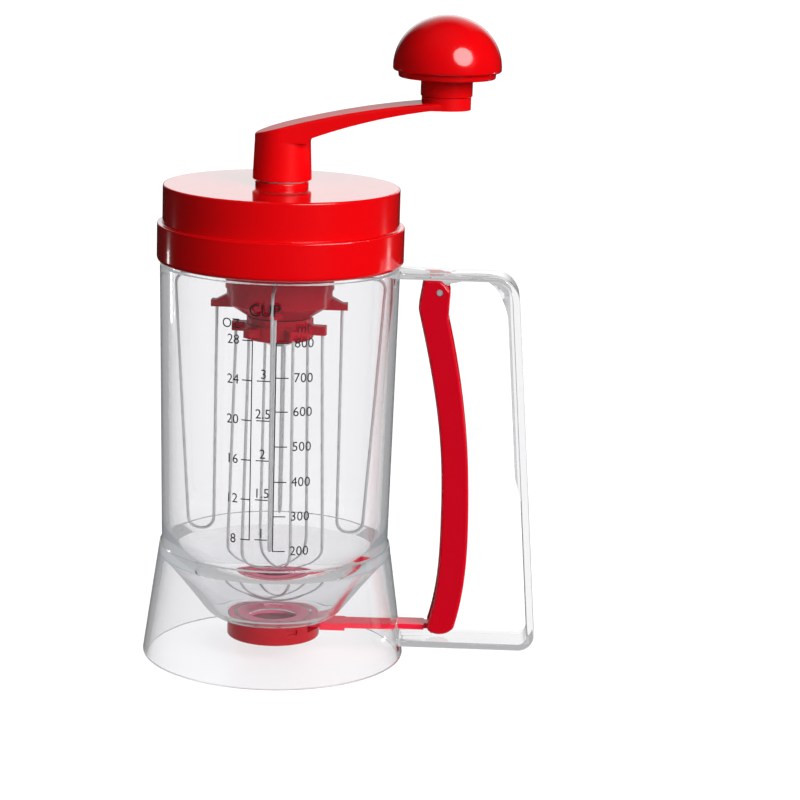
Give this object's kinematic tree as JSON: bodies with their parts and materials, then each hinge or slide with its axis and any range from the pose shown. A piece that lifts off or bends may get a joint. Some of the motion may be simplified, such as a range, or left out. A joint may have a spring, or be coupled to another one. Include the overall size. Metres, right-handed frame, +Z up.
{
  "type": "pancake batter dispenser",
  "caption": "Clear measuring jug with a hand-cranked geared whisk in its lid, a funnel with a sliding valve, and a trigger in a strap handle that opens it.",
  "frame": {"origin": "on the jug's axis at the level the skirt stands on", "axes": "+Z up along the axis of lid, whisk and crank; +X towards the handle; the measuring scales face -Y"},
  "size_m": [0.1716, 0.114, 0.28],
  "materials": {
    "clear_plastic": "clear moulded plastic",
    "red_plastic": "glossy red moulded plastic",
    "gear_plastic": "natural acetal",
    "silicone": "translucent silicone",
    "steel": "drawn stainless steel"
  },
  "bodies": {
    "jug": {"hopper": "clear_plastic", "funnel": "clear_plastic", "base_skirt": "clear_plastic", "handle_frame": "clear_plastic", "outlet_collar": "red_plastic", "valve_gasket": "silicone", "trigger_pin": "steel", "trigger_spring": "steel"},
    "trigger": {"trigger_lever": "red_plastic"},
    "valve": {"valve_slide": "red_plastic", "link_pin": "steel"},
    "lid": {"lid_cap": "red_plastic", "lid_seal": "silicone", "gear_plate": "gear_plastic", "plate_screws": "steel", "planet_pins": "steel", "crank_bush": "red_plastic", "shaft_seal": "silicone"},
    "crank": {"crank_arm": "red_plastic", "drive_shaft": "steel", "shaft_clip": "steel", "sun_gear": "gear_plastic", "whisk_hub": "red_plastic", "whisk_nut": "steel", "knob_pin": "steel", "thrust_washer": "gear_plastic", "hub_washer": "gear_plastic", "whisk_wire_1": "steel", "whisk_wire_2": "steel", "whisk_wire_3": "steel"},
    "knob": {"knob_base": "red_plastic", "knob_dome": "red_plastic"},
    "planet_a": {"planet_1": "gear_plastic"},
    "planet_b": {"planet_2": "gear_plastic"},
    "planet_c": {"planet_3": "gear_plastic"},
    "slow_beaters": {"ring_hub": "red_plastic", "hub_bowl": "red_plastic", "beater_wire_1": "steel", "beater_wire_2": "steel", "beater_wire_3": "steel", "beater_wire_4": "steel"}
  },
  "joints": [
    {"name": "trigger_pull", "type": "hinge", "parent": "jug", "child": "trigger", "pos_m": [0.0685, 0, 0.1632], "axis": [0, -1, 0], "range_deg": [0, 7.6], "stiffness_Nm_per_rad": 1, "springref_deg": -8.59, "deforming": ["trigger_spring"]},
    {"name": "valve_open", "type": "slide", "parent": "jug", "child": "valve", "axis": [1, 0, 0], "range_m": [0, 0.02]},
    {"name": "lid_lift", "type": "slide", "parent": "jug", "child": "lid", "axis": [0, 0, 1], "range_m": [0, 0.17]},
    {"name": "crank_turn", "type": "hinge", "parent": "lid", "child": "crank", "pos_m": [0, 0, 0.21], "axis": [0, 0, 1], "continuous": true},
    {"name": "knob_spin", "type": "hinge", "parent": "crank", "child": "knob", "pos_m": [0.0685, 0, 0.25], "axis": [0, 0, 1], "continuous": true},
    {"name": "planet_a_spin", "type": "hinge", "parent": "lid", "child": "planet_a", "pos_m": [0.0135, 0, 0.1693], "axis": [0, 0, 1], "continuous": true},
    {"name": "planet_b_spin", "type": "hinge", "parent": "lid", "child": "planet_b", "pos_m": [-0.00675, 0.01169, 0.1693], "axis": [0, 0, 1], "continuous": true},
    {"name": "planet_c_spin", "type": "hinge", "parent": "lid", "child": "planet_c", "pos_m": [-0.00675, -0.01169, 0.1693], "axis": [0, 0, 1], "continuous": true},
    {"name": "beaters_turn", "type": "hinge", "parent": "lid", "child": "slow_beaters", "pos_m": [0, 0, 0.16], "axis": [0, 0, 1], "continuous": true}
  ],
  "couplings": [
    {"joint": "planet_a_spin", "follows": "crank_turn", "ratio": -1.25},
    {"joint": "planet_b_spin", "follows": "crank_turn", "ratio": -1.25},
    {"joint": "planet_c_spin", "follows": "crank_turn", "ratio": -1.25},
    {"joint": "beaters_turn", "follows": "crank_turn", "ratio": -0.38461},
    {"joint": "valve_open", "follows": "trigger_pull", "m_per_rad": 0.1505}
  ]
}
